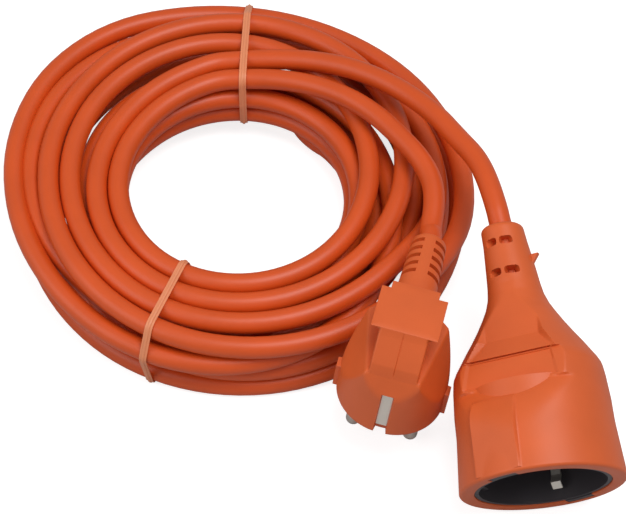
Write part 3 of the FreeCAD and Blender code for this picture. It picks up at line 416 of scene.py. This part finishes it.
def plug_housing():
    """Foot, grip and plate as one skin: rows of outlines from the inside of the foot's wall,
    round its rim, up the outside and over the plate, each row r(u) at its own height."""
    u = PLUG_TURNS
    round_wall = np.ones_like(u)
    rows = [(20.9, round_wall * 6), (20.5, round_wall * 8.6), (14.0, round_wall * 12.6),
            (11.2, round_wall * 13.4),
            (11.0, round_wall * 14.35), (0.4, round_wall * 14.35), (0.0, round_wall * 14.7),
            (0.0, foot_outline(0.0) - 0.35), (0.1, foot_outline(0.1) - 0.1)]
    heights = np.concatenate([
        np.arange(0.35, 9.1, 0.8), [9.15, 9.25], np.arange(9.8, 17.5, 0.6), [17.65, 17.75],
        np.arange(18.2, 23.4, 0.4)])
    rows += [(z, foot_outline(z)) for z in heights]
    foot = foot_outline(FOOT_TOP)
    grip = np.minimum(grip_outline(FOOT_TOP), foot)
    rows += [(23.7, foot_outline(23.7) - 0.12),
             (23.92, np.maximum(foot_outline(23.92) - 0.4, grip)),
             (FOOT_TOP, np.maximum(foot - 0.8, np.minimum(grip + 0.6, foot - 0.05))),
             (FOOT_TOP, np.minimum(grip + 0.45, foot - 0.06)),
             (24.25, np.minimum(grip_outline(24.25) + 0.12, foot - 0.15))]
    rows += [(z, grip_outline(z)) for z in np.arange(24.7, 34.6, 0.35)]
    under = np.maximum(plate_outline(2.4), grip_outline(34.7))
    rows += [(34.7, under), (36.75, plate_outline(0.0)), (36.92, plate_outline(0.07)),
             (37.0, plate_outline(0.3)), (37.04, plate_outline(2.5)), (37.05, plate_outline(5.5))]
    z = np.array([row[0] for row in rows])[:, None]
    r = np.stack([row[1] for row in rows])
    points = np.stack([r * np.cos(u), r * np.sin(u), np.broadcast_to(z, r.shape)], -1)
    return closed("plug_housing", in_plug(points), HOUSING, cap_first=True, cap_last=True)


def plug_relief():
    """The strain relief: a tapered sleeve along y, r(y, v), with five slots each side cut down
    to a core, a rounded end, and the bore that the cord comes out of."""
    v = np.linspace(0, 2 * math.pi, 240, endpoint=False)
    edges = 42.6 - 3.6 * np.arange(5)
    y = np.unique(np.round(np.concatenate([
        np.arange(9.0, 44.1, 0.6), edges + 0.04, edges - 0.04, edges - 1.64, edges - 1.56,
        edges - 0.75, [44.2, 44.5, 44.75, 44.92, 45.0]]), 3))
    body = np.interp(y, [9, 15, 22, 30, 45], [7.0, 6.8, 6.5, 6.2, 5.7])
    end = np.clip((y - 44.2) / 0.8, 0, 1)
    body = body - 0.8 * (1 - np.sqrt(1 - end * end))
    cut = np.zeros_like(y)
    for edge in edges:
        cut = np.maximum(cut, (y < edge) & (y > edge - 1.6))
    from_top = np.degrees(np.abs(np.arctan2(np.cos(v), np.sin(v))))
    aside = (from_top > 19) & (from_top < 158)
    r = body[:, None] - (body[:, None] - 4.2) * cut[:, None] * aside[None, :]
    bore_y = np.array([45.0, 44.6, 41.0, 34.0])
    bore = np.array([4.1, 3.72, BORE, BORE])
    y = np.concatenate([y, bore_y])
    r = np.concatenate([r, np.broadcast_to(bore[:, None], (4, len(v)))])
    points = np.stack([r * np.cos(v), np.broadcast_to(y[:, None], r.shape),
                       RELIEF_HEIGHT + r * np.sin(v)], -1)
    return closed("plug_relief", in_plug(points), HOUSING, cap_first=True, cap_last=True)


def across_x(name, y, z, width, place, material):
    """Bent strip: an outline in a frame's upright middle plane, given a width along x."""
    x = np.array([-width / 2, width / 2])
    points = np.stack([np.repeat(x, len(y)), np.tile(y, 2), np.tile(z, 2)], -1)
    number = np.arange(2 * len(y)).reshape(2, -1)
    faces = np.stack([number[0], np.roll(number[0], -1), np.roll(number[1], -1), number[1]], -1)
    faces = faces.tolist() + [number[0][::-1].tolist(), number[1].tolist()]
    piece = made(name, place(points), faces, material)
    edge = piece.modifiers.new("edge", "BEVEL")
    edge.width = 0.12 * MM
    edge.segments = 2
    return piece


def strap_piece():
    """The earth strap: an outline in the plug's upright middle plane, given a width along x."""
    out = [(-15.75, 2.6), (-15.4, 2.3), (-15.05, 2.3), (-15.05, 11.0), (15.05, 11.0),
           (15.05, 2.3), (15.4, 2.3), (15.75, 2.6), (15.75, 17.3), (15.4, 17.6), (15.05, 17.6),
           (15.05, 11.7), (-15.05, 11.7), (-15.05, 17.6), (-15.4, 17.6), (-15.75, 17.3)]
    y, z = np.array(out).T
    return across_x("plug_strap", y, z, 3.6, in_plug, STRIP)


# Coupling housing: a radius for every turn and every distance from the rim

CONE_END = 44.0
TAIL_END = 86.4
EARTH_TURN = math.radians(-15)
PANEL_LOW = 29.4
PANEL_TOP = 38.8
PANEL_MIDDLE = -0.9
PANEL_HALF = 13.9
OPENING = 21.2              # radius that the insert sits in
KEYWAY = 23.5               # radius of the two keyways beside it
KEYWAY_HALF = 4.8
KEY_HALF = 4.7


def tail_bent(points, z):
    """The soft tail gives way to the cord's pull: a shift along X that grows as the square of
    the distance past the cone."""
    points = np.array(points)
    points[..., 0] -= TAIL_PULL * (np.clip(z - CONE_END, 0, None) / (TAIL_END - CONE_END)) ** 2
    return points


def coupling_reach(u, z):
    """The outside of the coupling, r(u, z), with u from the upper side. A turned profile is cut
    by flats, each h(z) / cos u: a ramp down to the label panel, the panel, the ledge above it
    and the roof-shaped flat on the cone. The earth panel is a plate that stands on the barrel.
    The tail has four slots and a small lug."""
    x_of = np.sin(u)
    turned_profile = np.interp(
        z, [0, 18, 25, 33, 36.5, 38.5, 40.4, 44.1, 47.7, 51.4, 55.5, 58.7, 62.3, 66, 73.3, 80.6,
            86.4],
        [25.9, 24.5, 24.4, 23.8, 23.3, 22.3, 21.1, 18.8, 16.4, 14.1, 11.8, 10.2, 9.0, 8.45,
         7.8, 7.1, 6.8])
    r = turned_profile
    upper = np.maximum(np.cos(u), 1e-3)
    beside = u - EARTH_TURN
    plate = 25.3 / np.maximum(np.cos(beside), 1e-3)
    on_plate = (ramp(8.5, 7.5, np.abs(plate * np.sin(beside))) * ramp(0.9, 1.2, z)
                * ramp(25.4, 24.2, z) * (np.cos(beside) > 0))
    r = r + (np.maximum(plate, r) - r) * on_plate
    ramp_down = 25.3 - np.minimum((z - 20.3) / 9.1, 1) * 7.6
    ease = np.interp(z, [28.7, 29.5], [6.0, 0.8])
    r = np.where((z > 14) & (z < 45), softly(r, ramp_down / upper, ease), r)
    face = 17.7 - (z - PANEL_LOW) * 0.22
    framed = np.abs(16 * x_of / upper - PANEL_MIDDLE) < PANEL_HALF
    panel = face - 0.45 * ramp(29.9, 30.1, z) * ramp(38.5, 38.3, z) * (
        framed)
    r = np.where((z > PANEL_LOW) & (z < PANEL_TOP), np.minimum(r, panel / upper), r)
    groove = (z > 38.75) & (z < 39.2) & framed
    r = np.where(groove, np.minimum(r, 14.8 / upper), r)
    ledge = (16 - np.clip((z - 39.2) / 6.3, 0, 1) * 3.7) / upper
    ledge_half = 13.6 - (z - 39.2) * 0.76
    on_ledge = ramp(0.35, -0.35, np.abs(ledge * x_of) - ledge_half) * (np.cos(u) > 0)
    cut = np.minimum(r, ledge)
    r = np.where((z > 39.15) & (z < 45.6), r + (cut - r) * on_ledge, r)
    roof = (12.3 - (z - 45.5) * 0.195) / upper
    on_roof = ramp(9.1, 8.5, np.abs(roof * x_of)) * (np.cos(u) > 0)
    cut = softly(r, roof, 0.4)
    r = np.where((z > 45.55) & (z < 66), r + (cut - r) * on_roof, r)
    for middle in (69.3, 79.8):
        for side in (-1, 1):
            turn = np.degrees(np.arctan2(np.sin(u), np.cos(u))) * side
            arc = np.abs(turn - 21 + 3 * side) / 16.5
            up = np.abs(z - middle) / 1.25
            r = np.where((arc ** 4 + up ** 4) < 1, np.minimum(r, 3.85), r)
    fin = (np.abs(np.degrees(u) - 88) < 5.5) & (z > 72.3) & (z < 75.2)
    return np.where(fin, r + 0.9 * (z - 72.3), r)


def coupling_housing():
    """The coupling's skin: the outside from the tail to the rim, the rim rounded over, the wall
    of the opening with its two keyways, and the inside back to the bore for the cord."""
    turns = np.linspace(0, 2 * math.pi, 460, endpoint=False)
    z = np.unique(np.round(np.concatenate([
        [TAIL_END, 86.2, 85.8, 85.3], np.arange(84.8, 81.4, -0.6), np.arange(81.3, 78.3, -0.16),
        np.arange(78.1, 71, -0.6), np.arange(70.8, 67.8, -0.16), np.arange(67.4, 46, -0.6),
        [45.62, 45.53], np.arange(45.2, 39.4, -0.55), [39.22, 39.12, 38.98, 38.82, 38.72],
        [38.52, 38.28], np.arange(37.6, 30.3, -0.8), [30.12, 29.88, 29.45, 29.35],
        np.arange(28.8, 22.8, -0.4), np.arange(22, 2, -1.6), [1.6, 1.15, 0.95],
        [75.25, 75.15, 72.25, 72.35]]), 3))[::-1]
    outside = coupling_reach(turns[None, :], z[:, None])
    end = np.clip((z - 84.9) / 1.5, 0, 1)
    outside = outside - (1.5 * (1 - np.sqrt(1 - end * end)))[:, None]
    rim = np.radians(np.arange(15, 91, 15))
    lip_z = 0.95 - 0.95 * np.sin(rim)
    lip = outside[-1][None, :] - (1 - np.cos(rim))[:, None] * 1.2
    keyed = np.abs(np.sin(turns - EARTH_TURN) * 22) < KEYWAY_HALF
    opening = np.where(keyed, KEYWAY, OPENING)
    inner_z = np.array([0.0, 0.25, 2.1, 2.2, 30.2, 30.3, 40, 50, 57.8, 58.0, 85.9, TAIL_END])
    inner = np.stack([opening + 0.5, opening, opening, np.full_like(turns, OPENING),
                      *(np.full_like(turns, r) for r in
                        (OPENING, 13.0, 12.4, 8.6, 4.8, BORE, BORE, 4.2))])
    z_all = np.concatenate([z, lip_z, inner_z])
    r_all = np.concatenate([outside, lip, inner])
    points = np.stack([r_all * np.sin(turns), -r_all * np.cos(turns),
                       np.broadcast_to(z_all[:, None], r_all.shape)], -1)
    return closed("coupling_housing", tail_bent(in_coupling(points), z_all[:, None]), HOUSING)


def insert_key(side):
    """A black key of the insert in the rim's keyway: a bent block, r from 21 to 23.4 and 9.4
    wide, with its corners eased."""
    across = np.linspace(-KEY_HALF, KEY_HALF, 24)
    ring = np.array([(21.0, 0.25), (23.1, 0.25), (23.4, 0.5), (23.4, 2.05), (21.0, 2.05)])
    reach = np.sqrt(ring[:, 0][None, :] ** 2 - across[:, None] ** 2)
    c, d = math.cos(EARTH_TURN), math.sin(EARTH_TURN)
    points = np.stack([side * (across[:, None] * c + reach * d),
                       side * (across[:, None] * d - reach * c),
                       np.broadcast_to(ring[:, 1], reach.shape)], -1)
    name = {1: "upper_key", -1: "lower_key"}[side]
    return closed(name, in_coupling(points), INSERT, cap_first=True, cap_last=True)


def clip_piece():
    """The earth clip: an outline in the coupling's middle plane, two blades whose tips fold
    inwards near the rim and a bridge behind the sunk face, given a width along x."""
    half = [(-17.5, 22.4), (-17.5, 7.9), (-15.9, 5.3), (-17.7, 3.9), (-16.8, 3.5), (-14.9, 5.4),
            (-16.7, 8.1), (-16.7, 21.6)]
    y, z = np.array(half + [(-y, z) for y, z in half[::-1]]).T
    return across_x("earth_clip", y, z, 3.2, in_coupling, STRIP)


TIE_GAP = 0.45              # from the cord's surface to the middle of the tie
TIE_LOWEST = 0.65


def line_of(piece):
    """The points of a cord's own spline, read from it with no bevel."""
    bare = piece.copy()
    bare.data = piece.data.copy()
    bare.data.bevel_depth = 0
    mesh = bpy.data.meshes.new_from_object(bare)
    spots = np.empty(len(mesh.vertices) * 3)
    mesh.vertices.foreach_get("co", spots)
    bpy.data.meshes.remove(mesh)
    bpy.data.curves.remove(bare.data)
    return spots.reshape(-1, 3) / MM


def tie_piece(name, degrees):
    """A wire tie: a flat strip with a wire down its middle, carried along the hull of all the
    strands where they cross the upright plane at this ring angle. The path's point for a
    direction is the strand furthest that way, plus the strand's radius and the tie's own."""
    angle = math.radians(degrees)
    out = np.array([math.cos(angle), math.sin(angle), 0])
    on = np.array([-math.sin(angle), math.cos(angle), 0])
    line = line_of(cord)
    along, radius = line @ on, line @ out
    crossed = np.flatnonzero((along[:-1] * along[1:] < 0) & (radius[:-1] > 0))
    share = (along[crossed] / (along[crossed] - along[crossed + 1]))[:, None]
    spots = line[crossed] * (1 - share) + line[crossed + 1] * share
    spots = np.stack([spots @ out, spots[:, 2]], -1)
    facing = np.radians(np.arange(0, 360, 4))
    way = np.stack([np.cos(facing), np.sin(facing)], -1)
    furthest = spots[np.argmax(way @ spots.T, axis=1)]
    path = furthest + way * (CORD / 2 + TIE_GAP)
    path[:, 1] = np.maximum(path[:, 1], TIE_LOWEST)
    section = np.array([(-1.25, -0.2), (-1.25, 0.15), (-0.6, 0.2), (-0.4, 0.5), (0, 0.62),
                        (0.4, 0.5), (0.6, 0.2), (1.25, 0.15), (1.25, -0.2), (0, -0.25)])
    away = path[:, None, :] + way[:, None, :] * section[None, :, 1:2]
    points = (away[..., :1] * out + away[..., 1:] * np.array([0, 0, 1])
              + section[None, :, :1] * on)
    return closed(name, points, TIE)


stand_ins = (
    (tie_piece("rear_wire_tie", 88), "rear_tie", "tie"),
    (tie_piece("front_wire_tie", 248), "front_tie", "tie"),
    (clip_piece(), "coupling_earth_clip", "strip_metal"),
    (plug_housing(), "plug_body", "housing"),
    (plug_relief(), "plug_body", "housing"),
    (strap_piece(), "plug_earth_strap", "strip_metal"),
    (coupling_housing(), "coupling_body", "housing"))
for piece, node, material_slot in stand_ins:
    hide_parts(node)
for side in (1, -1):
    insert_key(side)


# Floor, light and camera

def stage_floor():
    """A pale floor that reads white to the camera and keeps the object's shadow."""
    mesh = bpy.data.meshes.new("floor")
    half = 4.0              # metres
    mesh.from_pydata([(-half, -half, 0), (half, -half, 0), (half, half, 0), (-half, half, 0)],
                     [], [(0, 1, 2, 3)])
    floor = bpy.data.objects.new("floor", mesh)
    bpy.context.collection.objects.link(floor)
    material = bpy.data.materials.new("pale_floor")
    material.use_nodes = True
    nodes, links = material.node_tree.nodes, material.node_tree.links
    shader = nodes["Principled BSDF"]
    shader.inputs["Base Color"].default_value = (0.5, 0.5, 0.5, 1)
    shader.inputs["Roughness"].default_value = 0.9
    shader.inputs["Specular IOR Level"].default_value = 0.1
    glow = nodes.new("ShaderNodeEmission")
    seen = nodes.new("ShaderNodeLightPath")
    lift = nodes.new("ShaderNodeMath")
    lift.operation = "MULTIPLY"
    lift.inputs[1].default_value = 0.8
    links.new(seen.outputs["Is Camera Ray"], lift.inputs[0])
    links.new(lift.outputs["Value"], glow.inputs["Strength"])
    total = nodes.new("ShaderNodeAddShader")
    links.new(shader.outputs["BSDF"], total.inputs[0])
    links.new(glow.outputs["Emission"], total.inputs[1])
    links.new(total.outputs["Shader"], nodes["Material Output"].inputs["Surface"])
    mesh.materials.append(material)


def lamp(name, place, target, size, power):
    """A square softbox at a place, facing a target, in millimetres and watts."""
    light = bpy.data.lights.new(name, "AREA")
    light.size = size * MM
    light.energy = power
    box = bpy.data.objects.new(name, light)
    bpy.context.collection.objects.link(box)
    away = np.asarray(place, float) - np.asarray(target, float)
    level = math.hypot(away[0], away[1])
    box.location = np.asarray(place) * MM
    box.rotation_euler = (math.atan2(level, away[2]), 0, math.atan2(away[0], -away[1]))


LIT = (20, -20, 15)         # the point that both lamps face

stage_floor()
world = bpy.data.worlds.new("studio")
world.use_nodes = True
background = world.node_tree.nodes["Background"]
background.inputs["Color"].default_value = (1, 1, 1, 1)
background.inputs["Strength"].default_value = 0.34
bpy.context.scene.world = world
lamp("key", (250, -150, 900), LIT, 500, 4.8)
lamp("fill", (-700, -300, 600), LIT, 700, 2.5)

CAMERA_TARGET = np.array([26.0, -28.0, 15.0])
CAMERA_DISTANCE = 650.0
CAMERA_ELEVATION = math.radians(55)
FOCAL_PIXELS = 1927.0
FRAME_WIDTH = 626

camera = bpy.data.cameras.new("camera")
camera.sensor_width = 36
camera.lens = FOCAL_PIXELS / FRAME_WIDTH * camera.sensor_width
camera.clip_start = 0.01
eye = bpy.data.objects.new("camera", camera)
bpy.context.collection.objects.link(eye)
eye.location = (CAMERA_TARGET + CAMERA_DISTANCE * np.array(
    [0, -math.cos(CAMERA_ELEVATION), math.sin(CAMERA_ELEVATION)])) * MM
eye.rotation_euler = (math.pi / 2 - CAMERA_ELEVATION, 0, 0)
bpy.context.scene.camera = eye
bpy.context.scene.view_settings.view_transform = "Standard"
